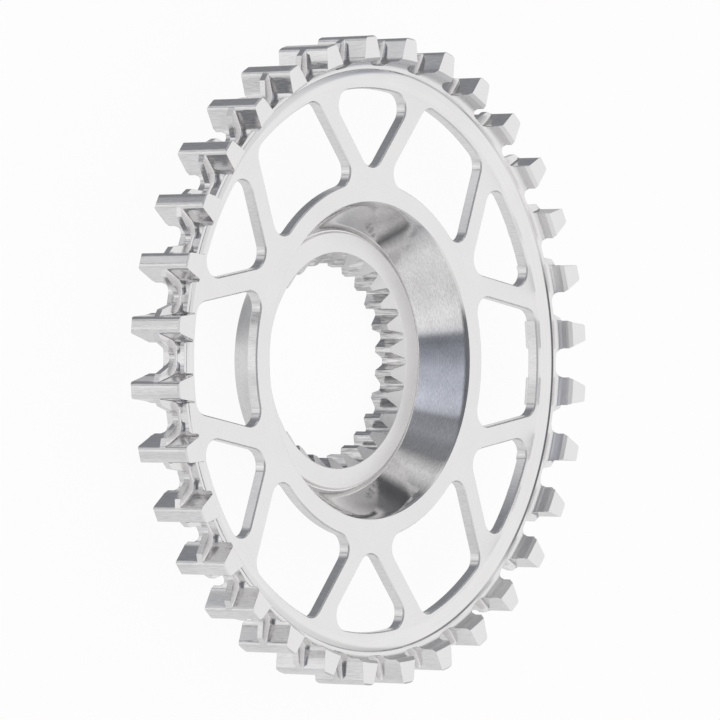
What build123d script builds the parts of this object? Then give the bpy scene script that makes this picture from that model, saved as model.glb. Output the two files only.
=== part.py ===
from build123d import *
import os
from math import acos, asin, atan2, cos, pi, radians, sin, sqrt, tan

# Belt drive sprocket, turned and milled from one steel blank. Millimetres.
# The axis is +Z, the front face of the plate looks up, and the origin is the middle
# of the hub's back face. A tooth space, a spline space and a window stand on +X.

# Belt and teeth
BELT_PITCH = 11.0
TEETH = 32
PITCH_LINE_HEIGHT = 0.82
TOOTH_DEPTH = 5.1
TOOTH_WIDTH = 10.55
SPACE_FLAT_WIDTH = 1.73
SPACE_CORNER_RADIUS = 2.3
FLANK_ANGLE = 17.0
TIP_CORNER = 0.75

# Guide rib that lines the middle of every tooth space. Its crest follows a narrower notch.
RIB_WIDTH = 1.6
RIB_HEIGHT = 0.42
RIB_FLAT_WIDTH = 1.3
RIB_SIDE_ANGLE = 29.4
RIB_KNEE_DROP = 1.05
RIB_END_ANGLE = 74.0
RIB_END_DROP = 0.15
RIB_SINK = 0.5

# Rim under the teeth, alike on both faces
RIM_LAND_WIDTH = 4.4
RIM_LAND_DEPTH = 0.8
OVERHANG_DEPTH = 0.8
COVE_RADIUS = 1.15
RIM_RISE_RADIUS = 3.0

# Plate and its ring of twelve windows
PLATE_THICKNESS = 2.2
BELT_PLANE_DEPTH = 1.25
WINDOW_PAIRS = 6
RIM_BAND = 3.84
WINDOW_APEX_RADIUS = 31.25
SPOKE_ANGLE = 39.6
SPOKE_WIDTH = 3.45
HUB_BAND = 3.45
APEX_FILLET = 3.0
WINDOW_FILLET = 2.7

# Bowl that sets the hub back from the plate
BOWL_RADIUS = 26.97
BOWL_DEPTH = 7.3
BOWL_WALL_ANGLE = 30.0
BOWL_WALL = 1.45
BOWL_EDGE_BREAK = 0.3
BOWL_BACK_CHAMFER = 0.6

# Hub ring and its inner spline
HUB_THICKNESS = 5.5
GROOVE_WIDTH = 0.7
GROOVE_FLOOR = 0.25
RING_CHAMFER = 0.35
HUB_BACK_CHAMFER = 0.4
SPLINE_TEETH = 26
SPLINE_TIP_RADIUS = 16.65
SPLINE_DEPTH = 1.75
SPLINE_TIP_LAND = 1.0
SPLINE_ROOT_LAND = 1.1
LEAD_IN_MARGIN = 0.1

# Radii and heights that follow
pitch_radius = TEETH * BELT_PITCH / (2 * pi)
tip_radius = pitch_radius - PITCH_LINE_HEIGHT
root_radius = tip_radius - TOOTH_DEPTH
space_step = 360 / TEETH

window_outer_radius = root_radius - RIM_BAND
window_inner_radius = BOWL_RADIUS + HUB_BAND
window_step = 360 / WINDOW_PAIRS

ring_face = HUB_THICKNESS
plate_front = HUB_THICKNESS + BOWL_DEPTH
plate_back = plate_front - PLATE_THICKNESS
belt_plane = plate_front - BELT_PLANE_DEPTH
wall_slope = tan(radians(BOWL_WALL_ANGLE))
wall_radial = BOWL_WALL / cos(radians(BOWL_WALL_ANGLE))

spline_root_radius = SPLINE_TIP_RADIUS + SPLINE_DEPTH
lead_in_radius = spline_root_radius + LEAD_IN_MARGIN

# Room that a cutting outline takes past the face it cuts
CLEAR = 1.0


def bowl_inner(z):
    """Radius of the bowl's inner wall at a height."""
    return BOWL_RADIUS - (plate_front - z) * wall_slope


def bowl_outer(z):
    """Radius of the bowl's outer wall, which runs parallel to the inner one."""
    return bowl_inner(z) + wall_radial


def rim_side(side, plate_face):
    """Points along one face of the rim, from the plate out to the tooth tips.

    The plate swings up to a narrow flat land on a tangent arc, drawn as two chords. A cove,
    drawn as its one chord, leads from the land into the wall under the overhanging tooth end.
    """
    land = belt_plane + side * RIM_LAND_WIDTH / 2
    tooth_end = belt_plane + side * TOOTH_WIDTH / 2
    land_start = root_radius - RIM_LAND_DEPTH
    overhang = root_radius + OVERHANG_DEPTH
    rise_angle = acos(1 - abs(land - plate_face) / RIM_RISE_RADIUS)
    rise_start = land_start - RIM_RISE_RADIUS * sin(rise_angle)
    half_run = RIM_RISE_RADIUS * sin(rise_angle / 2)
    half_rise = RIM_RISE_RADIUS * (1 - cos(rise_angle / 2))
    return [
        (rise_start, plate_face),
        (rise_start + half_run, plate_face + side * half_rise),
        (land_start, land),
        (overhang - COVE_RADIUS, land),
        (overhang, land + side * COVE_RADIUS),
        (overhang, tooth_end),
        (tip_radius + CLEAR, tooth_end),
    ]


def section():
    """Half section of the turned blank, radius across and height up."""
    ring_radius = bowl_inner(ring_face) - GROOVE_WIDTH
    groove_floor = ring_face - (GROOVE_WIDTH - GROOVE_FLOOR) / wall_slope
    bore_blank = SPLINE_TIP_RADIUS - CLEAR
    hub_side = [
        (BOWL_RADIUS + BOWL_EDGE_BREAK, plate_front),
        (bowl_inner(plate_front - BOWL_EDGE_BREAK), plate_front - BOWL_EDGE_BREAK),
        (bowl_inner(groove_floor), groove_floor),
        (ring_radius, groove_floor),
        (ring_radius, ring_face - RING_CHAMFER),
        (ring_radius - RING_CHAMFER, ring_face),
        (lead_in_radius, ring_face),
        (bore_blank, ring_face - (lead_in_radius - bore_blank)),
        (bore_blank, 0),
        (bowl_outer(0) - HUB_BACK_CHAMFER, 0),
        (bowl_outer(HUB_BACK_CHAMFER), HUB_BACK_CHAMFER),
        (bowl_outer(plate_back - BOWL_BACK_CHAMFER), plate_back - BOWL_BACK_CHAMFER),
        (bowl_outer(plate_back) + BOWL_BACK_CHAMFER, plate_back),
    ]
    front = rim_side(1, plate_front)
    back = rim_side(-1, plate_back)
    return make_face(Polyline(*hub_side, *back, *reversed(front), close=True))


def half_space():
    """Points along half the tooth space on +X, from its flat bottom to the tooth's tip.

    The round corner is drawn as two chords. The flank leaves it at a tangent, and ends in a
    corner flat that reaches as far down the flank as it does along the tip.
    """
    lean = radians(FLANK_ANGLE)
    half_flat = SPACE_FLAT_WIDTH / 2
    middle = root_radius + SPACE_CORNER_RADIUS
    turns = [pi - (pi / 2 - lean) * i / 2 for i in range(3)]
    corner = [
        (middle + SPACE_CORNER_RADIUS * cos(turn), half_flat + SPACE_CORNER_RADIUS * sin(turn))
        for turn in turns
    ]
    flank_shift = SPACE_CORNER_RADIUS + half_flat * cos(lean) - middle * sin(lean)
    run = sqrt((tip_radius - TIP_CORNER) ** 2 - flank_shift ** 2)
    flank_end = (run * cos(lean) - flank_shift * sin(lean), run * sin(lean) + flank_shift * cos(lean))
    tip_angle = atan2(flank_end[1], flank_end[0]) + TIP_CORNER / tip_radius
    return [*corner, flank_end, (tip_radius * cos(tip_angle), tip_radius * sin(tip_angle))]


def toothed_outline():
    """Plan of the tooth ring: flat-bottomed spaces with leaning flanks, and flat tooth tips."""
    upper = [Vector(*point) for point in half_space()]
    lower = [Vector(point.X, -point.Y) for point in reversed(upper)]
    space = lower + upper
    points = [point.rotate(Axis.Z, i * space_step) for i in range(TEETH) for point in space]
    return make_face(Polyline(*points, close=True))


def rib_notch():
    """Plan of the notch in the core on +X: a flat bottom, leaning sides and steeper ends."""
    half_flat = RIB_FLAT_WIDTH / 2
    bottom = root_radius + RIB_HEIGHT
    knee = tip_radius - RIB_KNEE_DROP
    knee_half = half_flat + (knee - bottom) * tan(radians(RIB_SIDE_ANGLE))
    end = tip_radius + CLEAR
    end_half = knee_half + (end - knee) * tan(radians(RIB_END_ANGLE))
    upper = [(bottom, half_flat), (knee, knee_half), (end, end_half)]
    lower = [(x, -y) for x, y in reversed(upper)]
    return make_face(Polyline(*upper, *lower, close=True))


def rib_core():
    """Thin notched ring in the belt plane: what it adds between the teeth is the guide rib."""
    ring = Circle(tip_radius - RIB_END_DROP) - Circle(root_radius - RIB_SINK)
    outline = ring - [Rot(0, 0, i * space_step) * rib_notch() for i in range(TEETH)]
    return Pos(0, 0, belt_plane - RIB_WIDTH / 2) * extrude(outline, RIB_WIDTH)


def spline_outline():
    """Plan of the splined bore: straight-sided spaces cut outward from the tip circle."""
    land_angle = asin(SPLINE_TIP_LAND / 2 / SPLINE_TIP_RADIUS)
    space_angle = pi / SPLINE_TEETH - land_angle
    mouth_x = SPLINE_TIP_RADIUS * cos(space_angle)
    mouth_y = SPLINE_TIP_RADIUS * sin(space_angle)
    root_y = SPLINE_ROOT_LAND / 2
    space = make_face(Polyline(
        (mouth_x - CLEAR, mouth_y),
        (mouth_x, mouth_y),
        (spline_root_radius, root_y),
        (spline_root_radius, -root_y),
        (mouth_x, -mouth_y),
        (mouth_x - CLEAR, -mouth_y),
        close=True,
    ))
    step = 360 / SPLINE_TEETH
    return Circle(SPLINE_TIP_RADIUS) + [Rot(0, 0, i * step) * space for i in range(SPLINE_TEETH)]


def delta_window():
    """Window that points at the hub: two spokes meet under its rounded apex."""
    reach = window_outer_radius
    side_x = WINDOW_APEX_RADIUS + reach * cos(radians(SPOKE_ANGLE))
    side_y = reach * sin(radians(SPOKE_ANGLE))
    wedge = make_face(Polyline((WINDOW_APEX_RADIUS, 0), (side_x, side_y), (side_x, -side_y), close=True))
    window = wedge & Circle(window_outer_radius)
    apex = window.vertices().sort_by_distance((WINDOW_APEX_RADIUS, 0))[0]
    window = fillet(apex, APEX_FILLET)
    corners = window.vertices().sort_by_distance((0, 0))[-2:]
    return fillet(corners, WINDOW_FILLET)


def keystone_window():
    """Window between two deltas: it narrows outward, along spokes of even width."""
    lean = radians(SPOKE_ANGLE - window_step / 2)
    half = radians(window_step / 2)
    spoke_line = SPOKE_WIDTH - WINDOW_APEX_RADIUS * sin(radians(SPOKE_ANGLE))
    start = window_inner_radius * 0.8
    stop = window_outer_radius * 1.1

    def half_width(x):
        return (-spoke_line - x * sin(lean)) / cos(lean)

    sides = make_face(Polyline(
        (start, half_width(start)),
        (stop, half_width(stop)),
        (stop, -half_width(stop)),
        (start, -half_width(start)),
        close=True,
    ))
    window = sides & (Circle(window_outer_radius) - Circle(window_inner_radius))
    return fillet(window.vertices(), WINDOW_FILLET)


def plan():
    """Plan of the finished sprocket: teeth outside, windows, splined bore inside."""
    deltas = [Rot(0, 0, (i + 0.5) * window_step) * delta_window() for i in range(WINDOW_PAIRS)]
    keystones = [Rot(0, 0, i * window_step) * keystone_window() for i in range(WINDOW_PAIRS)]
    return toothed_outline() - spline_outline() - deltas - keystones


def sprocket():
    """The whole part: the turned blank, cut to its plan, with the ribs of the notched core."""
    blank = revolve(Plane.XZ * section(), axis=Axis.Z)
    return (blank & extrude(plan(), plate_front + TOOTH_WIDTH)) + rib_core()


os.makedirs("parts", exist_ok=True)
belt_sprocket = sprocket()
export_step(belt_sprocket, "parts/belt_sprocket.step")
print("solids", len(belt_sprocket.solids()), "volume", round(belt_sprocket.volume))
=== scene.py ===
# %% [markdown]
# # A belt drive sprocket in bright steel
# The real part is one piece of steel. It was turned to a dish on a lathe, then milled: thirty two teeth
# round the rim, twelve windows in the plate and a splined bore in the hub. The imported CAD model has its
# size and its main forms. This lesson rebuilds its skin with the small radii that catch the light.

import math

import bmesh
import bpy
import numpy as np
from mathutils import Matrix, Vector
from mathutils.geometry import delaunay_2d_cdt


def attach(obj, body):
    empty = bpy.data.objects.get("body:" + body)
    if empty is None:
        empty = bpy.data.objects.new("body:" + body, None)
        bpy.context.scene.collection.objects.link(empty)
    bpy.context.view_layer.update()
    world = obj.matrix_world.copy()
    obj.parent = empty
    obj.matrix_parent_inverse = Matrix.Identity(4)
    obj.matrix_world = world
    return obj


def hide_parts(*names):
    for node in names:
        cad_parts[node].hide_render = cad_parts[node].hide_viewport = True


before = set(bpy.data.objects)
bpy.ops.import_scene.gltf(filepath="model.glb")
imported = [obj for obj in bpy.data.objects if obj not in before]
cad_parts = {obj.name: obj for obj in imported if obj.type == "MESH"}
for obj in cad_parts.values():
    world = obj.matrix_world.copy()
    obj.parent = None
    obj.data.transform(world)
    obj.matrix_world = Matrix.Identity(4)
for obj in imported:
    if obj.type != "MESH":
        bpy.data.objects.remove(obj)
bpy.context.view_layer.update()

# %% [markdown]
# ## The camera
# A product photograph is taken from far away with a long lens, so that a round part stays calm in outline.
# The camera's place and turn come from matching the picture. The turn is given as three directions, because
# three angles would hide which way is up.

# %% Place the camera
MM = 0.001
camera_place = Vector((-868.93, -8.33, 716.82)) * MM
camera_right = Vector((0.63088036, 0.00432733, 0.77586806))
camera_up = Vector((-0.00855812, 0.99996242, 0.00138165))
camera_back = Vector((-0.77583293, -0.00751163, 0.63089368))

camera_data = bpy.data.cameras.new("camera")
camera_data.lens = 328.86
camera_data.sensor_width = 36.0
camera_data.clip_start, camera_data.clip_end = 0.05, 50.0
camera = bpy.data.objects.new("camera", camera_data)
bpy.context.scene.collection.objects.link(camera)
turn = Matrix((camera_right, camera_up, camera_back)).transposed()
camera.matrix_world = Matrix.Translation(camera_place) @ turn.to_4x4()
bpy.context.scene.camera = camera
print("camera is", round(camera_place.length, 3), "m from the hub")

# %% [markdown]
# ## A shell that collects surfaces
# Every surface below is worked out as a grid of points: one direction runs round the part, the other one
# runs along its section. The shell only stores the grids. They are welded to one closed skin at the end.
# Points are worked out in millimetres, as on a drawing.


# %% A collector for grids of points
class Shell:
    """Holds points and faces. Each face has the number of its finish."""

    def __init__(self):
        self.points, self.faces, self.finishes, self.count = [], [], [], 0

    def add(self, points, faces, finish):
        """Stores loose points, shape (n, 3), and faces that number them."""
        self.points.append(points.reshape(-1, 3))
        self.faces.extend((faces + self.count).tolist())
        self.finishes.extend([finish] * len(faces))
        self.count += len(points.reshape(-1, 3))

    def grid(self, points, finish, closed=False):
        """Four-sided faces between neighbours of a grid, shape (rows, columns, 3).

        Face (i, j) has the corners (i, j), (i, j+1), (i+1, j+1), (i+1, j). A closed grid also
        joins its last column to its first.
        """
        rows, columns = points.shape[:2]
        index = np.arange(rows * columns).reshape(rows, columns)
        if closed:
            index = np.hstack([index, index[:, :1]])
        corners = [index[:-1, :-1], index[:-1, 1:], index[1:, 1:], index[1:, :-1]]
        self.add(points, np.stack(corners, -1).reshape(-1, 4), finish)


def turned(points, angle):
    """The points turned about the axis: x' = x cos a - y sin a, y' = x sin a + y cos a."""
    c, s = np.cos(angle), np.sin(angle)
    x, y, z = points[..., 0], points[..., 1], points[..., 2]
    return np.stack([x * c - y * s, x * s + y * c, z + 0 * angle], -1)


def repeated(grid, count):
    """A grid of one pitch, laid side by side round the whole circle, shape (rows, count * columns, 3)."""
    steps = np.arange(count)[None, :, None] * (2 * np.pi / count)
    whole = turned(grid[:, None, :, :], steps)
    return whole.reshape(grid.shape[0], -1, 3)


def stack(x, y, z):
    """Points from three arrays that spread to one shape."""
    return np.stack(np.broadcast_arrays(x, y, z), -1).astype(float)


shell = Shell()
SATIN, MILLED, TURNED, POLISHED, BROACHED = 0, 1, 2, 3, 4
print("points in the empty shell", shell.count)

# %% [markdown]
# ## One pitch of the teeth, seen along the axis
# Each tooth space has a short flat bottom, two round corners and two straight flanks that lean outwards by
# 17 degrees. The flank runs over a round corner into the tooth tip. The outline is a list of points with
# their normals. The normals are needed later, because the guide rib stands on this outline.

# %% Sizes of a tooth and of its rib
TEETH = 32
TIP_R, ROOT_R = 55.2, 50.1
FLAT_HALF, SPACE_CORNER_R = 0.866, 2.3
FLANK = math.radians(17.07)
TIP_CORNER_R = 0.95
HEEL_R, HEEL_EDGE_R, TIP_EDGE_R = 50.9, 51.4, 54.95
TIP_COLUMNS = 3
RIB_HEIGHT, RIB_BOTTOM_R, RIB_LEAN = 0.42, 1.1, math.radians(29.4)
RIB_KNEE_X, RIB_END_LEAN, RIB_END_RUN = 54.15, math.radians(68.0), 2.0
KNEE_GAP = 0.02
pitch = 2 * np.pi / TEETH
print("one pitch is", round(math.degrees(pitch), 2), "degrees")


# %% The crest of the rib, whose knee the flank's columns have to meet
def heading(angle):
    """Unit vector in a direction: (cos a, sin a)."""
    return np.array([math.cos(angle), math.sin(angle)])


def crest_line():
    """Half of the rib's crest: an arc at the bottom, the leaning side, and the steeper end.

    The side runs from the arc's end to the knee's distance, and the end runs on past the wall.
    """
    middle = ROOT_R + RIB_HEIGHT + RIB_BOTTOM_R
    turns = np.linspace(np.pi, np.pi / 2 + RIB_LEAN, 9)
    arc = np.stack([middle + RIB_BOTTOM_R * np.cos(turns), RIB_BOTTOM_R * np.sin(turns)], -1)
    knee = arc[-1] + (RIB_KNEE_X - arc[-1, 0]) / math.cos(RIB_LEAN) * heading(RIB_LEAN)
    return np.concatenate([arc, [knee, knee + RIB_END_RUN * heading(RIB_END_LEAN)]])


crest = crest_line()
print("crest points", len(crest), "knee at", np.round(crest[-2], 2))


# %% The outline of half a tooth space
def circle_turn(middle, radius, distance):
    """Direction from a circle's middle to the point of it that lies at a distance from the axis.

    Law of cosines: the angle at the middle between the axis and that point. Of the two points
    at that distance, the one with the smaller direction angle is meant.
    """
    reach = math.hypot(*middle)
    near = (reach**2 + radius**2 - distance**2) / (2 * reach * radius)
    return math.atan2(-middle[1], -middle[0]) - math.acos(near)


def half_space():
    """Points and normals from the bottom of a space to the middle of a tooth tip.

    In order: the flat bottom, the corner's arc, the straight flank, the tip corner's arc, the tip's
    arc. The tip corner's middle lies where a line beside the flank meets the circle inside the tip.
    """
    middle = np.array([ROOT_R + SPACE_CORNER_R, FLAT_HALF])
    begin, end = np.pi, np.pi / 2 + FLANK
    heel = circle_turn(middle, SPACE_CORNER_R, HEEL_R) % (2 * np.pi)
    edge = circle_turn(middle, SPACE_CORNER_R, HEEL_EDGE_R) % (2 * np.pi)
    flat = np.stack([np.full(3, ROOT_R), np.linspace(0, FLAT_HALF, 4)[:-1]], -1)
    turns = np.concatenate([
        np.linspace(begin, heel, 7)[:-1], np.linspace(heel, edge, 3)[:-1], np.linspace(edge, end, 4),
    ])
    way = np.stack([np.cos(turns), np.sin(turns)], -1)
    bottom = middle + SPACE_CORNER_R * way

    along, inward = heading(FLANK), heading(FLANK + np.pi / 2)
    start = bottom[-1] + TIP_CORNER_R * inward
    b, c = start @ along, start @ start - (TIP_R - TIP_CORNER_R) ** 2
    run = -b + math.sqrt(b * b - c)
    corner = start + run * along
    knee_run = (crest[-2] - bottom[-1]) @ along
    flank_runs = np.concatenate([np.linspace(0, knee_run, 5)[1:], [knee_run + KNEE_GAP, run]])
    flank = bottom[-1] + flank_runs[:, None] * along

    first, last = FLANK - np.pi / 2, math.atan2(corner[1], corner[0])
    reach = np.linalg.norm(corner)
    near = (TIP_EDGE_R**2 - reach**2 - TIP_CORNER_R**2) / (2 * reach * TIP_CORNER_R)
    edge_turn = last - math.acos(near)
    swing = np.concatenate([
        np.linspace(first, edge_turn, 5)[1:], np.linspace(edge_turn, last, 5)[1:],
    ])
    round_normal = np.stack([np.cos(swing), np.sin(swing)], -1)
    rounded = corner + TIP_CORNER_R * round_normal

    share = np.linspace(1, 0, TIP_COLUMNS + 1)[1:]
    angle = pitch / 2 - share * (pitch / 2 - last)
    tip_normal = np.stack([np.cos(angle), np.sin(angle)], -1)
    points = np.concatenate([flat, bottom, flank, rounded, TIP_R * tip_normal])
    flat_normal = np.repeat([[1.0, 0.0]], 3, 0)
    flank_normal = np.repeat(-inward[None], len(flank), 0)
    normals = np.concatenate([flat_normal, -way, flank_normal, round_normal, tip_normal])
    return points, normals


half_points, half_normals = half_space()
half_radius = np.linalg.norm(half_points, axis=1)
half_angle = np.arctan2(half_points[:, 1], half_points[:, 0])
heel_column = int(np.argmin(np.abs(half_radius - HEEL_R)))
tip_column = len(half_radius) - TIP_COLUMNS - 1
print("columns in half a space", len(half_points), "rising", bool(np.all(np.diff(half_angle) > 0)))
heel_width = 2 * HEEL_R * math.sin(pitch / 2 - half_angle[heel_column])
print("tooth is", round(heel_width, 2), "mm wide at its heel")

# %% [markdown]
# ## The guide rib's crest
# The belt has a groove along its middle, and a rib in every tooth space keeps it there. Seen along the
# axis the rib's crest is a narrower notch: a small round bottom, straight sides that lean outwards by 29
# degrees, and a steep end that dies into the tooth's corner. How far the rib stands out of the wall is the
# distance from a wall point, along its normal, to that crest line.

# %% How far the rib stands out at each column
NEARLY_PARALLEL, END_SLACK = 1e-12, 1e-6


def distance_along(points, ways, line):
    """Length of the straight run from each point, in its way, to a chain of straight pieces.

    Two runs P + p w and A + q d meet where p = cross(A - P, d) / cross(w, d), and q tells
    whether they meet between the ends of the piece. The nearest meeting counts, else 0.
    """
    a, d = line[:-1][None], np.diff(line, axis=0)[None]
    gap, way = a - points[:, None], ways[:, None]
    base = way[..., 0] * d[..., 1] - way[..., 1] * d[..., 0]
    base = np.where(np.abs(base) < NEARLY_PARALLEL, NEARLY_PARALLEL, base)
    p = (gap[..., 0] * d[..., 1] - gap[..., 1] * d[..., 0]) / base
    q = (gap[..., 0] * way[..., 1] - gap[..., 1] * way[..., 0]) / base
    p = np.where((q > -END_SLACK) & (q < 1 + END_SLACK) & (p > 0), p, np.inf).min(1)
    return np.where(np.isfinite(p), p, 0.0)


half_rib = distance_along(half_points, half_normals, crest)
half_rib[tip_column:] = 0.0
print("rib stands out by", np.round(half_rib, 2))

mirror = np.array([1.0, -1.0])
outline = np.concatenate([(half_points * mirror)[:0:-1], half_points[:-1]])
outline_normal = np.concatenate([(half_normals * mirror)[:0:-1], half_normals[:-1]])
outline_rib = np.concatenate([half_rib[:0:-1], half_rib[:-1]])
outline_radius = np.linalg.norm(outline, axis=1)

# %% [markdown]
# ## Walls of the tooth spaces
# The rib is not a separate piece: the cutter left it standing. So the wall is one grid, and the rib is a
# bulge in it. Across the rib the bulge is flat on the crest, and then falls in a short hollow arc that
# meets the wall without a crease.

# %% Heights of the rim, measured from the belt's middle plane
BELT_Z = 11.55
RIB_HALF, RIB_FOOT, SIDE_ROWS = 0.58, 0.22, 6
LAND_H, END_H = 2.2, 5.275
COVE_R, HEEL_TOP_H = 1.15, 4.71
cove_start = HEEL_R - COVE_R
print("the cove starts", round(cove_start, 2), "mm from the axis")


def rib_bulge(height, rib):
    """Full height inside the crest's width, then a hollow quarter ellipse of width RIB_FOOT.

    With d running from 0 at the foot to 1 at the crest, it stands out by rib (1 - sqrt(1 - d^2)).
    """
    reach = np.clip(1 - (np.abs(height) - RIB_HALF) / RIB_FOOT, 0, 1)
    return rib * (1 - np.sqrt(1 - reach**2))


def cove_height(radius):
    """Height of the quarter round cove under the tooth's end, at a distance from the axis.

    With d the way past the cove's start, it is the land's height plus R - sqrt(R^2 - d^2).
    """
    reach = np.clip(radius - cove_start, 0, COVE_R)
    return LAND_H + COVE_R - np.sqrt(COVE_R**2 - reach**2)


def end_height(radius):
    """Height of the tooth's end: the lowest of the heel's chamfer, the flat end and the tip's chamfer."""
    rise = (END_H - HEEL_TOP_H) / (HEEL_EDGE_R - HEEL_R)
    heel_chamfer = HEEL_TOP_H + rise * (radius - HEEL_R)
    tip_chamfer = END_H - (radius - TIP_EDGE_R)
    return np.minimum(np.minimum(heel_chamfer, END_H), tip_chamfer)


# %% Grids of the space walls
ones = np.ones((1, len(outline)))
side_turns = np.linspace(np.pi / 2, 0, SIDE_ROWS + 1)[1:, None]
side_levels = RIB_HALF + RIB_FOOT * (1 - np.sin(side_turns))
edge_levels = cove_height(outline_radius)[None, :]
upper = np.concatenate([
    0.0 * ones, RIB_HALF * ones, side_levels * ones,
    (side_levels[-1] + edge_levels) / 2, edge_levels,
])
levels = np.concatenate([-upper[:0:-1], upper])
bulge = rib_bulge(levels, outline_rib)
wall = stack(
    outline[:, 0] + bulge * outline_normal[:, 0],
    outline[:, 1] + bulge * outline_normal[:, 1],
    BELT_Z + levels,
)
shell.grid(repeated(wall, TEETH), MILLED, closed=True)
print("wall grid", wall.shape, "lowest edge", round(float(edge_levels.min()), 2))

# %% [markdown]
# ## Tooth ends
# Above the cove each tooth stands out over the rim as a short bar. Its flanks go on upwards, and its end
# is a fan of the same columns: at every distance from the axis the tooth has a half angle, and the end's
# grid runs from minus that angle to plus that angle.

# %% Columns of the tooth ends
across = np.linspace(-1, 1, 2 * TIP_COLUMNS + 1)
end_radius = half_radius[heel_column : tip_column + 1]
end_half_angle = pitch / 2 - half_angle[heel_column : tip_column + 1]
tooth_side = turned(stack(*half_points[heel_column:].T, 0.0), -pitch / 2)
tooth_round = np.concatenate([tooth_side, (tooth_side * [1, -1, 1])[-2::-1]])
tooth_round_r = np.linalg.norm(tooth_round[:, :2], axis=1)
rise_share = np.linspace(0, 1, 3)[:, None]
print("columns round a tooth", len(tooth_round))


# %% Grids of the tooth ends
def tooth_copies(grid):
    """The same grid on every tooth, one by one."""
    for i in range(TEETH):
        yield turned(grid, np.array((i + 0.5) * pitch))


for side in (1, -1):
    low = LAND_H + COVE_R
    height = low + rise_share * (end_height(tooth_round_r)[None, :] - low)
    flanks = stack(tooth_round[None, :, 0], tooth_round[None, :, 1], BELT_Z + side * height)
    heel_h = low + rise_share * (HEEL_TOP_H - low)
    heel_a = across[None, :] * end_half_angle[0]
    heel = stack(HEEL_R * np.cos(heel_a), HEEL_R * np.sin(heel_a), BELT_Z + side * heel_h)
    end_a = across[None, :] * end_half_angle[:, None]
    end_r = end_radius[:, None]
    end = stack(end_r * np.cos(end_a), end_r * np.sin(end_a), BELT_Z + side * end_height(end_r))
    for grid, finish in ((flanks, MILLED), (heel, SATIN), (end, SATIN)):
        for copy in tooth_copies(grid):
            shell.grid(copy, finish)
print("tooth is", round(2 * TIP_R * math.sin(end_half_angle[-1]), 2), "mm wide at its tip")

# %% [markdown]
# ## Cove, land and rise of the rim
# From the plate the rim rises in a hollow arc, and a small step leads up to the flat land. Under the teeth
# the land ends in a quarter round cove. All of these are turned surfaces, so they are rings. Their columns
# stand where the columns of the walls stand, which lets the rings be welded to the teeth without a gap.

# %% Columns of the rings
root_angles = half_angle[:heel_column]
tooth_angles = pitch / 2 - across[::-1] * end_half_angle[0]
ring_angles = np.concatenate([-root_angles[:0:-1], root_angles, tooth_angles])
root_radii = half_radius[:heel_column]
ring_reach = np.concatenate([root_radii[:0:-1], root_radii, np.full(len(tooth_angles), HEEL_R)])
print("ring columns in a pitch", len(ring_angles))

# %% Rings under the teeth
RISE_R, RISE_END_R, RISE_STEP, LAND_R = 4.5, 49.35, 0.3, 49.57
PLATE_FRONT, PLATE_BACK = 12.8, 10.6
ARC_ROWS = 7
rise_starts = {}
for side, plate_z in ((1, PLATE_FRONT), (-1, PLATE_BACK)):
    top = np.arcsin((ring_reach - cove_start) / COVE_R)
    swing = np.linspace(0, 1, ARC_ROWS)[:, None] * top[None, :]
    cove_r = cove_start + COVE_R * np.sin(swing)
    cove_h = LAND_H + COVE_R - COVE_R * np.cos(swing)
    depth = abs(side * LAND_H + BELT_Z - plate_z) - RISE_STEP
    full = math.acos(1 - depth / RISE_R)
    rise_starts[side] = RISE_END_R - RISE_R * math.sin(full)
    lift = np.linspace(0, full, ARC_ROWS)[:, None]
    rise_r = np.append(rise_starts[side] + RISE_R * np.sin(lift), [[LAND_R]], 0)
    rise_h = np.append(abs(plate_z - BELT_Z) + RISE_R * (1 - np.cos(lift)), [[LAND_H]], 0)
    ones = np.ones((1, len(ring_angles)))
    land_r = np.concatenate([LAND_R * ones, cove_r])
    land_h = np.concatenate([LAND_H * ones, cove_h])
    for reach, height, finish in ((rise_r * ones, rise_h * ones, POLISHED), (land_r, land_h, SATIN)):
        ring = stack(reach * np.cos(ring_angles), reach * np.sin(ring_angles), BELT_Z + side * height)
        shell.grid(repeated(ring, TEETH), finish, closed=True)
print("the rise starts at", {side: round(start, 2) for side, start in rise_starts.items()})

# %% [markdown]
# ## The splined bore
# Twenty six spaces are cut outward from the bore. Their corners are slightly round, and a 45 degree
# lead-in at the front lets the driver find its way. The outline is again a list of columns, and the
# lead-in is a cone: its height at a column follows from the column's distance from the axis.

# %% Sizes of the splines
SPLINES = 26
SPLINE_TIP_R, SPLINE_ROOT_R, LEAD_R, RING_Z = 16.65, 18.4, 18.5, 5.5
TIP_LAND, ROOT_LAND, ROOT_ROUND = 1.0, 1.1, 0.5
BORE_BREAK = 0.2
spline_pitch = 2 * np.pi / SPLINES
mouth_angle = spline_pitch / 2 - math.asin(TIP_LAND / 2 / SPLINE_TIP_R)
mouth = SPLINE_TIP_R * np.array([math.cos(mouth_angle), math.sin(mouth_angle)])
root = np.array([SPLINE_ROOT_R, ROOT_LAND / 2])
side_way = (mouth - root) / np.linalg.norm(mouth - root)
corner_turn = math.acos(-side_way[1])
tangent = ROOT_ROUND * math.tan((np.pi - corner_turn) / 2)
print("a spline's side leans by", round(math.degrees(corner_turn) - 90, 1), "degrees")


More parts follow.
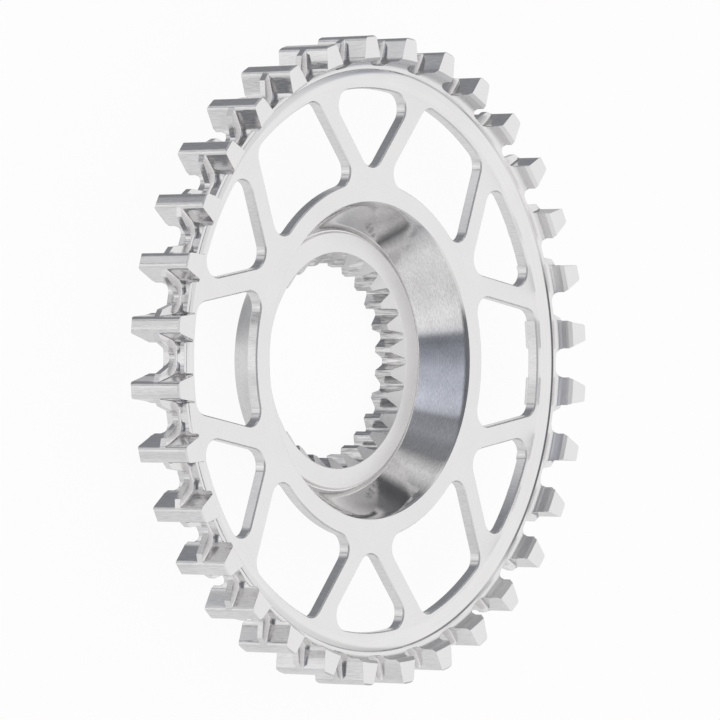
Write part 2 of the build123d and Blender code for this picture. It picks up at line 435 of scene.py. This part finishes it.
# %% The spline's outline
def half_spline():
    """Points and normals from the middle of a spline space to the middle of a spline tip.

    In order: the floor, the arc that rounds its corner, the straight side, the tip's arc.
    """
    bend = np.linspace(0, 1, 5) * (math.atan2(side_way[1], side_way[0]) - np.pi / 2)
    centre = np.array([SPLINE_ROOT_R - ROOT_ROUND, ROOT_LAND / 2 - tangent])
    out = np.stack([np.cos(bend), np.sin(bend)], -1)
    curve = centre + ROOT_ROUND * out
    floor = np.array([[SPLINE_ROOT_R, 0.0]])
    side = curve[-1] + np.linspace(0, 1, 4)[1:, None] * (mouth - curve[-1])
    angle = np.linspace(mouth_angle, spline_pitch / 2, 3)[1:]
    tip = SPLINE_TIP_R * np.stack([np.cos(angle), np.sin(angle)], -1)
    points = np.concatenate([floor, curve, side, tip])
    normal = np.concatenate([[[1.0, 0.0]], out, np.repeat(out[-1:], 3, 0), tip / SPLINE_TIP_R])
    return points, -normal


spline_half, spline_half_normal = half_spline()
spline_line = np.concatenate([(spline_half * mirror)[:0:-1], spline_half[:-1]])
spline_normal = np.concatenate([(spline_half_normal * mirror)[:0:-1], spline_half_normal[:-1]])
spline_angle = np.arctan2(spline_line[:, 1], spline_line[:, 0])
spline_radius = np.linalg.norm(spline_line, axis=1)
print("spline columns in a pitch", len(spline_line), "rising", bool(np.all(np.diff(spline_angle) > 0)))

# %% Grids of the lead-in and the bore wall
lead_share = np.linspace(0, 1, 3)[:, None]
lead_r = LEAD_R + lead_share * (spline_radius - LEAD_R)
lead_z = RING_Z - (LEAD_R - lead_r)
lead_in = stack(lead_r * np.cos(spline_angle), lead_r * np.sin(spline_angle), lead_z)
shell.grid(repeated(lead_in, SPLINES), SATIN, closed=True)

wall_top = RING_Z - (LEAD_R - spline_radius)
wall_z = BORE_BREAK + (1 - np.linspace(0, 1, 4)[:, None]) * (wall_top - BORE_BREAK)
bore_wall = stack(spline_line[:, 0], spline_line[:, 1], wall_z)
shell.grid(repeated(bore_wall, SPLINES), BROACHED, closed=True)

back_line = spline_line - BORE_BREAK * spline_normal
bore_edge = np.stack([stack(*spline_line.T, BORE_BREAK), stack(*back_line.T, 0.0)])
shell.grid(repeated(bore_edge, SPLINES), SATIN, closed=True)
print("bore wall grid", bore_wall.shape, "lead-in grid", lead_in.shape)

# %% [markdown]
# ## Hub ring and bowl
# The hub ring lies deep in a bowl with a wall that leans by 30 degrees. A narrow groove parts the ring
# from the wall. All of this is one profile, a list of radius and height, that is carried round the axis.
# Sharp outer edges get a small flat or a small radius, as a lathe hand breaks them with a file.


# %% Helpers for turned profiles
FILLET_POINTS, LATHE_STEP = 6, 1.0


def fillet_points(before, corner, after, radius):
    """Points of the arc that rounds a corner between two straight runs of a profile.

    The arc touches both runs at radius / tan(half the corner's inner angle) from the corner. Its
    middle lies on the bisector, at radius / sin(half the inner angle).
    """
    p, q, r = (np.array(v, float) for v in (before, corner, after))
    a, b = (p - q) / np.linalg.norm(p - q), (r - q) / np.linalg.norm(r - q)
    half = math.acos(a @ b) / 2
    middle = q + (a + b) / np.linalg.norm(a + b) * radius / math.sin(half)
    start = q + a * radius / math.tan(half) - middle
    stop = q + b * radius / math.tan(half) - middle
    t = np.linspace(0, 1, FILLET_POINTS)[:, None]
    swing = np.pi - 2 * half
    return middle + (np.sin((1 - t) * swing) * start + np.sin(t * swing) * stop) / math.sin(swing)


def densified(profile):
    """The profile with extra points, so that no run is longer than LATHE_STEP."""
    out = [profile[:1]]
    for p, q in zip(profile[:-1], profile[1:]):
        count = max(1, math.ceil(np.linalg.norm(q - p) / LATHE_STEP))
        out.append(p + (q - p) * np.linspace(0, 1, count + 1)[1:, None])
    return np.concatenate(out)


hub_angles = (spline_angle[None, :] + np.arange(SPLINES)[:, None] * spline_pitch).ravel()


def lathe(profile, finish):
    """The profile carried round the axis: (r cos a, r sin a, z) for every column's angle a."""
    r, z = profile[:, :1], profile[:, 1:]
    shell.grid(stack(r * np.cos(hub_angles), r * np.sin(hub_angles), z), finish, closed=True)


print("columns round the hub", len(hub_angles))


# %% The ring, the groove and the bowl's inner wall
BOWL_R, BOWL_ANGLE, BOWL_WALL = 26.97, math.radians(30.0), 1.45
BOWL_LEAN = math.tan(BOWL_ANGLE)
GROOVE_W, GROOVE_FLOOR = 0.7, 0.25
RING_ROUND, BOWL_BREAK, BOWL_EDGE = 0.4, 0.3, 0.08


def bowl_inner(z):
    """Radius of the bowl's inner wall at a height: it narrows by tan 30 degrees per millimetre."""
    return BOWL_R - (PLATE_FRONT - z) * BOWL_LEAN


def bowl_outer(z):
    """Radius of the outer wall, parallel to the inner one at the wall's thickness."""
    return bowl_inner(z) + BOWL_WALL / math.cos(BOWL_ANGLE)


ring_r = bowl_inner(RING_Z) - GROOVE_W
groove_z = RING_Z - (GROOVE_W - GROOVE_FLOOR) / BOWL_LEAN
ring_edge = fillet_points((LEAD_R, RING_Z), (ring_r, RING_Z), (ring_r, 0), RING_ROUND)
lathe(np.array([(LEAD_R, RING_Z), ring_edge[0]]), SATIN)
lathe(np.concatenate([ring_edge, [(ring_r, groove_z), (bowl_inner(groove_z), groove_z)]]), POLISHED)
wall_end = (bowl_inner(PLATE_FRONT - BOWL_BREAK), PLATE_FRONT - BOWL_BREAK)
inner_wall = np.array([(bowl_inner(groove_z), groove_z), wall_end])
lathe(densified(inner_wall), TURNED)
lathe(np.array([wall_end, (BOWL_R + BOWL_EDGE, PLATE_FRONT)]), POLISHED)
plate_hole = {1: BOWL_R + BOWL_EDGE}
print("ring radius", round(ring_r, 2), "groove floor", round(groove_z, 2))

# %% The bowl's back
BACK_FILLET, BACK_BREAK, PAST_FILLET = 1.5, 0.4, 3
hub_back_r, back_corner_r = bowl_outer(0) - BACK_BREAK, bowl_outer(PLATE_BACK)
back_start = [(hub_back_r, 0), (bowl_outer(BACK_BREAK), BACK_BREAK)]
back_fillet = fillet_points(
    back_start[1], (back_corner_r, PLATE_BACK), (back_corner_r + PAST_FILLET, PLATE_BACK), BACK_FILLET)
back_profile = np.concatenate([back_start, back_fillet])
lathe(densified(back_profile), TURNED)
plate_hole[-1] = back_profile[-1, 0]
whole_back = repeated(stack(*back_line.T, 0.0)[None], SPLINES)[0]
hub_circle = hub_back_r * np.stack([np.cos(hub_angles), np.sin(hub_angles), 0 * hub_angles], -1)
shell.grid(np.stack([whole_back, hub_circle]), SATIN, closed=True)
print("the hub's back reaches to", round(hub_back_r, 2), "and the fillet to", round(plate_hole[-1], 2))

# %% [markdown]
# ## Windows
# Six windows point at the hub, and six keystones stand between them. Every corner is a circle's arc that
# touches its two neighbours, so each window is fully told by the middles of its corner arcs. A window's
# outline is a chain of arcs. Moving it outwards for the broken edge only changes the arcs' radii.

# %% Sizes of the windows and helpers for their outlines
SPOKE_LEAN, APEX_R, WINDOW_IN, WINDOW_OUT = math.radians(39.6), 31.25, 30.42, 46.26
APEX_ROUND, WINDOW_ROUND, SPOKE_W = 3.0, 2.7, 3.45
EDGE_BREAK, EDGE_DEPTH = 0.2, 0.25
PAIRS, SAME_SPOT = 6, 1e-4
print("a window is", round(WINDOW_OUT - WINDOW_IN, 2), "mm long")


def arc(middle, radius, start, stop, count):
    """Points and outward normals on an arc: middle + radius (cos a, sin a)."""
    a = np.linspace(start, stop, count)
    way = np.stack([np.cos(a), np.sin(a)], -1)
    return np.asarray(middle) + radius * way, way


def both_halves(parts):
    """A window that is symmetric about +X: the upper half, then its mirror image the other way."""
    points, normals = (np.concatenate(column) for column in zip(*parts))
    whole, ways = (np.concatenate([half, half[::-1] * mirror]) for half in (points, normals))
    return whole, ways


# %% The outline of a delta
def delta_window():
    """Window with its apex at the hub. Its side leans by SPOKE_LEAN from the middle line.

    The outer corner's middle lies on a line beside that side, at its rounding's distance, where
    the line meets the circle that lies the same distance inside the window's outer edge.
    """
    lean = SPOKE_LEAN
    apex = (APEX_R + APEX_ROUND / math.sin(lean), 0.0)
    normal = np.array([-math.sin(lean), math.cos(lean)])
    foot = np.array([APEX_R, 0.0]) - WINDOW_ROUND * normal
    way = heading(lean)
    b, c = foot @ way, foot @ foot - (WINDOW_OUT - WINDOW_ROUND) ** 2
    corner = foot + way * (-b + math.sqrt(b * b - c))
    outward = math.atan2(corner[1], corner[0])
    return both_halves([
        arc((0.0, 0.0), WINDOW_OUT, 0.0, outward, 8),
        arc(corner, WINDOW_ROUND, outward, lean + np.pi / 2, 12),
        arc(apex, APEX_ROUND, lean + np.pi / 2, np.pi, 8),
    ])


# %% The outline of a keystone
def keystone_window():
    """Window between two deltas. Its side keeps SPOKE_W from the neighbour's side.

    Both corners' middles lie on a line beside that side, at their rounding's distance: from its
    point nearest to the axis, at d, they lie sqrt(reach^2 - d^2) along it.
    """
    lean = SPOKE_LEAN - np.pi / PAIRS
    way, normal = heading(-lean), np.array([math.sin(lean), math.cos(lean)])
    nearest = APEX_R * math.sin(SPOKE_LEAN) - SPOKE_W - WINDOW_ROUND
    outer, inner = (
        nearest * normal + way * math.sqrt(reach**2 - nearest**2)
        for reach in (WINDOW_OUT - WINDOW_ROUND, WINDOW_IN + WINDOW_ROUND)
    )
    face = np.pi / 2 - lean
    out_turn, in_turn = math.atan2(outer[1], outer[0]), math.atan2(inner[1], inner[0])
    points, way_in = arc((0.0, 0.0), WINDOW_IN, in_turn, 0.0, 6)
    return both_halves([
        arc((0.0, 0.0), WINDOW_OUT, 0.0, out_turn, 7),
        arc(outer, WINDOW_ROUND, out_turn, face, 9),
        arc(inner, WINDOW_ROUND, face, in_turn + np.pi, 12),
        (points, -way_in),
    ])


# %% The twelve windows round the plate
shapes = ((keystone_window(), 0.0), (delta_window(), 0.5))
windows = []
for i in range(PAIRS):
    for (line, way), offset in shapes:
        turn_by = (i + offset) * np.pi / 3  # each pair takes a sixth of the circle
        c, s = math.cos(turn_by), math.sin(turn_by)
        spin = np.array([[c, s], [-s, c]])
        line, way = line @ spin, way @ spin
        keep = np.linalg.norm(line - np.roll(line, 1, 0), axis=1) > SAME_SPOT
        windows.append((line[keep], way[keep]))
print("windows", len(windows), "points each", sorted({len(w[0]) for w in windows}))

# %% Window walls with broken edges
for line, way in windows:
    wide = line + EDGE_BREAK * way
    rows = [
        stack(*wide.T, PLATE_FRONT), stack(*line.T, PLATE_FRONT - EDGE_DEPTH),
        stack(*line.T, PLATE_BACK + EDGE_DEPTH), stack(*wide.T, PLATE_BACK),
    ]
    for pair, finish in ((rows[:2], SATIN), (rows[1:3], MILLED), (rows[2:], SATIN)):
        shell.grid(np.stack(pair), finish, closed=True)
print("each window edge is broken by", EDGE_BREAK, "mm")

# %% [markdown]
# ## The plate's two faces
# A flat face with holes needs no grid. A triangulation that keeps given edges fills it from the outlines
# alone, and because the face is flat, the shape of its triangles can't be seen.


# %% A test for spots inside an outline
NEVER_ZERO = 1e-30


def inside(loop, spots):
    """Even-odd test: a spot is inside if a ray to +X crosses the loop an odd number of times."""
    (x0, y0), (x1, y1) = loop.T[:, None], np.roll(loop, -1, 0).T[:, None]
    px, py = spots[:, :1], spots[:, 1:]
    meeting_x = (x1 - x0) * (py - y0) / (y1 - y0 + NEVER_ZERO) + x0
    cross = ((y0 > py) != (y1 > py)) & (px < meeting_x)
    return cross.sum(1) % 2 == 1


holding = sum(bool(inside(line, line.mean(0)[None])[0]) for line, way in windows)
print("windows that hold their own middle", holding)

# %% Fill the plate between the rim, the windows and the hub
FILL_SLACK = 1e-7
rim_turns = (ring_angles[None, :] + np.arange(TEETH)[:, None] * pitch).ravel()
for side, plate_z in ((1, PLATE_FRONT), (-1, PLATE_BACK)):
    rim_loop = rise_starts[side] * np.stack([np.cos(rim_turns), np.sin(rim_turns)], -1)
    hub_loop = plate_hole[side] * np.stack([np.cos(hub_angles), np.sin(hub_angles)], -1)
    loops = [rim_loop, hub_loop] + [line + EDGE_BREAK * way for line, way in windows]
    corners = np.concatenate(loops)
    edges, start = [], 0
    for loop in loops:
        index = start + np.arange(len(loop))
        edges += np.stack([index, np.roll(index, -1)], -1).tolist()
        start += len(loop)
    made = delaunay_2d_cdt([Vector(p) for p in corners], edges, [], 0, FILL_SLACK)
    spots, triangles = np.array([v[:] for v in made[0]]), np.array(made[2])
    middle = spots[triangles].mean(1)
    keep = inside(rim_loop, middle)
    for loop in loops[1:]:
        keep &= ~inside(loop, middle)
    shell.add(stack(spots[:, 0], spots[:, 1], plate_z), triangles[keep], SATIN)
    print("plate face", side, "has", int(keep.sum()), "triangles")

# %% [markdown]
# ## Weld the skin
# Grids that share a border have the same points there, so merging points that lie together closes the
# skin. Only then are the faces turned outwards, because that test needs a closed skin. Edges that bend by
# more than a few degrees stay sharp in the shading, and the rest of the skin is shaded smooth.

# %% Make the mesh
WELD, SLIVER, SHARP = 2e-6, 1e-7, math.radians(21.0)
mesh = bpy.data.meshes.new("sprocket")
mesh.from_pydata((np.concatenate(shell.points) * MM).tolist(), [], shell.faces)
mesh.polygons.foreach_set("material_index", np.array(shell.finishes, np.int32))
work = bmesh.new()
work.from_mesh(mesh)
bmesh.ops.remove_doubles(work, verts=work.verts, dist=WELD)
bmesh.ops.dissolve_degenerate(work, dist=SLIVER, edges=work.edges)
bmesh.ops.recalc_face_normals(work, faces=work.faces)
open_edges = sum(not e.is_manifold for e in work.edges)
volume = work.calc_volume() / MM**3
work.to_mesh(mesh)
work.free()
mesh.shade_smooth()
mesh.set_sharp_from_angle(angle=SHARP)
sprocket = bpy.data.objects.new("sprocket_skin", mesh)
bpy.context.scene.collection.objects.link(sprocket)
count = sum(len(p.vertices) - 2 for p in mesh.polygons)
print("triangles", count, "open edges", open_edges, "volume", round(volume), "mm3")

# %% [markdown]
# ## Tool marks as shared shader groups
# Steel is one grey. What tells its faces apart is the mark that each tool left: a lathe leaves circles
# round the axis, a mill or a broach leaves lines along the axis, and tumbling leaves a fine grain. Each mark
# is a noise that is stretched one way, so a group turns the place on the part into stretched coordinates.


# %% Helpers for node trees
def node(tree, kind, **values):
    """A node of that kind. Values that name a socket set it, others set the node's own property."""
    made = tree.nodes.new(kind)
    for name, value in values.items():
        if name in made.inputs:
            made.inputs[name].default_value = value
        else:
            setattr(made, name, value)
    return made


def join(tree, source, target):
    """Links an output to an input. Each is a pair of a node and a socket's name or number."""
    tree.links.new(source[0].outputs[source[1]], target[0].inputs[target[1]])


def math_node(tree, operation, first, second=None):
    """A Math node. Each operand is a number, or a pair of a node and an output."""
    made = node(tree, "ShaderNodeMath", operation=operation)
    for index, operand in enumerate((first, second)):
        if isinstance(operand, tuple):
            join(tree, operand, (made, index))
        elif operand is not None:
            made.inputs[index].default_value = operand
    return (made, 0)


def new_group(name, inputs, outputs):
    """An empty shader group with float inputs, given as name and value, and float outputs."""
    tree = bpy.data.node_groups.new(name, "ShaderNodeTree")
    for title, value in inputs.items():
        socket = tree.interface.new_socket(name=title, in_out="INPUT", socket_type="NodeSocketFloat")
        socket.default_value = value
    for title in outputs:
        tree.interface.new_socket(name=title, in_out="OUTPUT", socket_type="NodeSocketFloat")
    return tree, tree.nodes.new("NodeGroupInput"), tree.nodes.new("NodeGroupOutput")


# %% Lathe marks
PER_METRE = 1000.0


def marked_by(tree, out, spans, detail, roughness):
    """Puts out a noise over three coordinates that are already stretched to the mark's shape."""
    stretched = node(tree, "ShaderNodeCombineXYZ")
    for axis, span in enumerate(spans):
        join(tree, span, (stretched, axis))
    noise = node(tree, "ShaderNodeTexNoise", Scale=1.0, Detail=detail, Roughness=roughness)
    join(tree, (stretched, 0), (noise, "Vector"))
    join(tree, (noise, 0), (out, 0))


def lathe_marks():
    """Noise over (radius, height, a little angle): fast along the section, slow round the axis.

    The radius is sqrt(x^2 + y^2). The angle is taken without its sign, so it has no jump at -X.
    """
    tree, given, out = new_group("lathe_marks", {"Lines per mm": 12.0, "Breaks": 6.0}, ["Mark"])
    place = node(tree, "ShaderNodeTexCoord")
    parts = node(tree, "ShaderNodeSeparateXYZ")
    join(tree, (place, "Object"), (parts, 0))
    x_square = math_node(tree, "POWER", (parts, 0), 2.0)
    y_square = math_node(tree, "POWER", (parts, 1), 2.0)
    radius = math_node(tree, "SQRT", math_node(tree, "ADD", x_square, y_square))
    lines = math_node(tree, "MULTIPLY", (given, 0), PER_METRE)
    angle = math_node(tree, "ABSOLUTE", math_node(tree, "ARCTAN2", (parts, 1), (parts, 0)))
    marked_by(tree, out, (
        math_node(tree, "MULTIPLY", radius, lines),
        math_node(tree, "MULTIPLY", (parts, 2), lines),
        math_node(tree, "MULTIPLY", angle, (given, 1)),
    ), 3.0, 0.65)
    return tree


# %% Mill marks and grain
def mill_marks():
    """Noise over (x, y, a little z): it changes fast round a wall, slowly along the axis."""
    tree, given, out = new_group("mill_marks", {"Lines per mm": 5.0, "Breaks": 0.12}, ["Mark"])
    place = node(tree, "ShaderNodeTexCoord")
    parts = node(tree, "ShaderNodeSeparateXYZ")
    join(tree, (place, "Object"), (parts, 0))
    lines = math_node(tree, "MULTIPLY", (given, 0), PER_METRE)
    slow_lines = math_node(tree, "MULTIPLY", lines, (given, 1))
    marked_by(tree, out, (
        math_node(tree, "MULTIPLY", (parts, 0), lines),
        math_node(tree, "MULTIPLY", (parts, 1), lines),
        math_node(tree, "MULTIPLY", (parts, 2), slow_lines),
    ), 2.5, 0.6)
    return tree


def grain():
    """Two plain noises: a fine one for the tumbled grain, and a broad one for clouds in the polish."""
    sizes = {"Grains per mm": 9.0, "Clouds per mm": 0.12}
    tree, given, out = new_group("grain", sizes, ["Grain", "Clouds"])
    place = node(tree, "ShaderNodeTexCoord")
    for index in (0, 1):
        noise = node(tree, "ShaderNodeTexNoise", Detail=2.0)
        join(tree, (place, "Object"), (noise, "Vector"))
        join(tree, math_node(tree, "MULTIPLY", (given, index), PER_METRE), (noise, "Scale"))
        join(tree, (noise, 0), (out, index))
    return tree


marks = {"lathe": lathe_marks(), "mill": mill_marks(), "grain": grain()}
print("shader groups", [tree.name for tree in marks.values()])

# %% [markdown]
# ## The five finishes
# All five are the same steel. They differ in gloss, and in how much their tool mark darkens them: the broach
# leaves long dark streaks in the bore, while the satin faces stay even. The mark also makes the gloss
# uneven, and lifts the surface a little, which pulls reflections into streaks across the marks. A Bevel node
# rounds every sharp edge in the shading alone, because a real edge is never perfectly sharp and shows a thin
# line of light.


# %% One function for every finish
STEEL = (0.81, 0.80, 0.80)
MARK_RANGE, TONE_RANGE = (0.3, 0.7), (0.35, 0.6)
MARK_WEIGHT, CLOUD_WEIGHT, GRAIN_WEIGHT = 0.6, 0.4, 0.4
EDGE_GLINT = 0.08 * MM


def steel(name, mark, mark_values, rough_low, rough_high, lift, shade):
    """Adds a steel whose roughness and tone follow its tool mark.

    Roughness runs from rough_low to rough_high, the colour darkens by up to the share shade, and
    the mark lifts the surface by up to lift millimetres.
    """
    made = bpy.data.materials.new(name)
    made.use_nodes = True
    tree = made.node_tree
    skin = tree.nodes["Principled BSDF"]
    skin.inputs["Metallic"].default_value = 1.0
    tool = node(tree, "ShaderNodeGroup", node_tree=marks[mark])
    for title, value in mark_values.items():
        tool.inputs[title].default_value = value
    fine = node(tree, "ShaderNodeGroup", node_tree=marks["grain"])
    rough = node(tree, "ShaderNodeMapRange")
    join(tree, (tool, "Mark"), (rough, "Value"))
    rough.inputs["From Min"].default_value, rough.inputs["From Max"].default_value = MARK_RANGE
    rough.inputs["To Min"].default_value, rough.inputs["To Max"].default_value = rough_low, rough_high
    join(tree, (rough, 0), (skin, "Roughness"))
    tone = node(tree, "ShaderNodeMix", data_type="RGBA")
    tone.inputs[6].default_value = (*(c * (1 - shade) for c in STEEL), 1)
    tone.inputs[7].default_value = (*STEEL, 1)
    marked = math_node(tree, "MULTIPLY", (tool, "Mark"), MARK_WEIGHT)
    clouded = math_node(tree, "MULTIPLY", (fine, "Clouds"), CLOUD_WEIGHT)
    cloudy = math_node(tree, "ADD", marked, clouded)
    spread = node(tree, "ShaderNodeMapRange")
    join(tree, cloudy, (spread, "Value"))
    spread.inputs["From Min"].default_value, spread.inputs["From Max"].default_value = TONE_RANGE
    join(tree, (spread, 0), (tone, 0))
    join(tree, (tone, 2), (skin, "Base Color"))
    edge = node(tree, "ShaderNodeBevel", samples=4, Radius=EDGE_GLINT)
    grained = math_node(tree, "MULTIPLY", (fine, "Grain"), GRAIN_WEIGHT)
    height = math_node(tree, "ADD", (tool, "Mark"), grained)
    bump = node(tree, "ShaderNodeBump", Strength=1.0, Distance=lift * MM)
    join(tree, height, (bump, "Height"))
    join(tree, (edge, 0), (bump, "Normal"))
    join(tree, (bump, 0), (skin, "Normal"))
    mesh.materials.append(made)


print("steel reflects", STEEL)

# %% Make the finishes, in the order of their numbers
steel("satin_steel", "lathe", {"Lines per mm": 8.0}, 0.26, 0.36, 0.0006, 0.04)
steel("milled_steel", "mill", {"Lines per mm": 5.0}, 0.09, 0.20, 0.0035, 0.16)
steel("turned_steel", "lathe", {"Lines per mm": 8.0, "Breaks": 40.0}, 0.03, 0.08, 0.0018, 0.36)
steel("polished_steel", "lathe", {"Lines per mm": 6.0}, 0.08, 0.14, 0.0010, 0.06)
steel("broached_steel", "mill", {"Lines per mm": 3.0}, 0.09, 0.20, 0.0035, 0.60)
print("finishes", [made.name for made in mesh.materials])

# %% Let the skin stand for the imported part
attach(sprocket, "root")
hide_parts("belt_sprocket")
print(sprocket.name, "stands for belt_sprocket")

# %% [markdown]
# ## The floor
# The floor is white paper. The camera sees it almost as bright as the background, with a faint shadow
# where the part keeps the light off. Bright metal needs a whole room to mirror, and a floor this close
# would fill every wall of the teeth with one white, so for mirror rays the paper is clear and the room shows.

# %% Lay the floor
FLOOR_HALF, PAPER_GREY, PAPER_GLOW = 6, 0.9, 0.93
floor_corners = FLOOR_HALF * np.array([(-1, -1, 0), (1, -1, 0), (1, 1, 0), (-1, 1, 0)])
floor_mesh = bpy.data.meshes.new("floor")
floor_mesh.from_pydata(floor_corners.tolist(), [], [(0, 1, 2, 3)])
floor = bpy.data.objects.new("floor", floor_mesh)
bpy.context.scene.collection.objects.link(floor)
print("floor is", floor.dimensions[0], "m wide")

# %% Make the paper
paper = bpy.data.materials.new("paper")
paper.use_nodes = True
tree = paper.node_tree
tree.nodes.clear()
surface = node(tree, "ShaderNodeOutputMaterial")
matt = node(tree, "ShaderNodeBsdfDiffuse", Color=(PAPER_GREY, PAPER_GREY, PAPER_GREY, 1))
glow = node(tree, "ShaderNodeEmission", Color=(1, 1, 1, 1), Strength=1.0)
seen = node(tree, "ShaderNodeMixShader", Fac=PAPER_GLOW)
clear = node(tree, "ShaderNodeBsdfTransparent")
rays = node(tree, "ShaderNodeLightPath")
choice = node(tree, "ShaderNodeMixShader")
join(tree, (matt, 0), (seen, 1))
join(tree, (glow, 0), (seen, 2))
join(tree, (rays, "Is Glossy Ray"), (choice, 0))
join(tree, (seen, 0), (choice, 1))
join(tree, (clear, 0), (choice, 2))
join(tree, (choice, 0), (surface, 0))
floor_mesh.materials.append(paper)
print("paper glows by", PAPER_GLOW)

# %% [markdown]
# ## The room that the steel mirrors
# Polished metal has no colour of its own: it looks like what stands round it. A photographer sets white
# cards and leaves dark gaps between them, because the dark lines draw the shape. Here that room is a world
# of three belts under a white ceiling: one below the horizon, one at it, and one above it. Each belt is a
# colour ramp that runs once round, by the compass angle from +X over +Y. The camera itself sees plain white.

# %% The world and a helper for its belts
world = bpy.data.worlds.new("studio")
bpy.context.scene.world = world
world.use_nodes = True
tree = world.node_tree
tree.nodes.clear()
RED_LOSS, BLUE_GAIN = 0.06, 0.16
print("world is", world.name)


def belt(stops):
    """Colour ramp round the compass. A stop is (degrees, grey, tint): a tint above 0 turns it blue.

    Red is grey times 1 - RED_LOSS tint, green is grey, and blue is grey times 1 + BLUE_GAIN tint.
    """
    ramp = node(tree, "ShaderNodeValToRGB")
    elements = ramp.color_ramp.elements
    while len(elements) > 1:
        elements.remove(elements[-1])
    for index, (degrees, grey, tint) in enumerate(stops):
        stop = elements[0] if index == 0 else elements.new(degrees / 360)
        stop.position = degrees / 360
        stop.color = (grey * (1 - RED_LOSS * tint), grey, grey * (1 + BLUE_GAIN * tint), 1)
    return ramp


# %% The cards and gaps of the three belts
LOW_BELT = [
    (0, 0.80, 0), (19, 0.76, 0), (28, 0.60, 0.1), (38, 0.40, 0.3), (50, 0.26, 0.5),
    (80, 0.28, 0.5), (110, 0.28, 0.5), (124, 0.46, 0.3), (133, 0.72, 0.2), (149, 0.80, 0.1),
    (152, 0.30, 0.3), (155, 0.30, 0.3), (158, 0.95, 0), (169, 0.80, 0), (172, 1.0, 0),
    (188, 1.0, 0), (191, 0.80, 0), (203, 0.95, 0), (208, 0.72, 0.1), (236, 0.82, 0.1),
    (281, 0.82, 0.1), (330, 0.78, 0), (360, 0.80, 0),
]
HORIZON_BELT = [
    (0, 1.0, 0), (25, 0.80, 0), (45, 0.35, 0.1), (58, 0.30, 0.3), (79, 0.27, 0.4),
    (83, 0.45, 0.1), (90, 0.70, 0), (96, 0.85, 0), (103, 0.60, 0), (109, 0.28, 0.4),
    (118, 0.28, 0.5), (125, 0.35, 0.5), (139, 0.34, 0.6), (143, 0.66, 0.7), (151, 0.76, 0.8),
    (163, 0.66, 0.9), (173, 0.60, 0.9), (182, 0.42, 0.9), (194, 0.25, 0.9), (198, 0.28, 0.8),
    (202, 0.75, 0.3), (207, 0.98, 0.1), (217, 1.0, 0), (225, 0.92, 0), (262, 0.86, 0),
    (272, 0.68, 0.1), (282, 0.46, 0.3), (287, 0.66, 0.1), (302, 0.62, 0.2), (318, 0.45, 0.5),
    (330, 0.40, 0.6), (345, 0.85, 0.1),
]
HIGH_BELT = [
    (0, 1.0, 0), (62, 1.0, 0), (88, 0.28, 0.2), (125, 0.24, 0.3), (135, 0.18, 0.4),
    (210, 0.18, 0.4), (222, 0.80, 0), (300, 0.95, 0), (360, 1.0, 0),
]
print("room belts", len(LOW_BELT), len(HORIZON_BELT), len(HIGH_BELT))

# %% The compass angle and the height of a direction
# The radial gradient starts at -X, so the direction is turned half round to let it start at +X.
way = node(tree, "ShaderNodeTexCoord")
turned_way = node(tree, "ShaderNodeVectorMath", operation="MULTIPLY")
turned_way.inputs[1].default_value = (-1, -1, 1)
join(tree, (way, "Generated"), (turned_way, 0))
compass = node(tree, "ShaderNodeTexGradient", gradient_type="RADIAL")
join(tree, (turned_way, 0), (compass, 0))
height_of = node(tree, "ShaderNodeSeparateXYZ")
join(tree, (way, "Generated"), (height_of, 0))
print("compass runs by", compass.gradient_type)


# %% Stack the belts and light the world with them
LOW_TO_HORIZON, HORIZON_TO_HIGH, HIGH_TO_CEILING = (-0.32, -0.16), (0.40, 0.50), (0.64, 0.74)
WHITE = (1.0, 1.0, 1.0, 1.0)


def blend(low, high, start, stop):
    """Colour that goes from low to high, as the direction's height goes from start to stop."""
    share = node(tree, "ShaderNodeMapRange", interpolation_type="SMOOTHSTEP")
    join(tree, (height_of, 2), (share, "Value"))
    share.inputs["From Min"].default_value, share.inputs["From Max"].default_value = start, stop
    made = node(tree, "ShaderNodeMix", data_type="RGBA")
    join(tree, (share, 0), (made, 0))
    join(tree, low, (made, 6))
    if high is WHITE:
        made.inputs[7].default_value = high
    else:
        join(tree, high, (made, 7))
    return (made, 2)


belts = [belt(LOW_BELT), belt(HORIZON_BELT), belt(HIGH_BELT)]
for ramp in belts:
    join(tree, (compass, 1), (ramp, 0))
lower = blend((belts[0], 0), (belts[1], 0), *LOW_TO_HORIZON)
upper = blend(lower, (belts[2], 0), *HORIZON_TO_HIGH)
room = blend(upper, WHITE, *HIGH_TO_CEILING)
rays = node(tree, "ShaderNodeLightPath")
picked = node(tree, "ShaderNodeMix", data_type="RGBA")
join(tree, (rays, "Is Camera Ray"), (picked, 0))
join(tree, room, (picked, 6))
picked.inputs[7].default_value = WHITE
sky = node(tree, "ShaderNodeBackground")
join(tree, (picked, 2), (sky, 0))
join(tree, (sky, 0), (node(tree, "ShaderNodeOutputWorld"), 0))

bpy.context.scene.view_settings.view_transform = "Standard"
print("world nodes", len(tree.nodes))
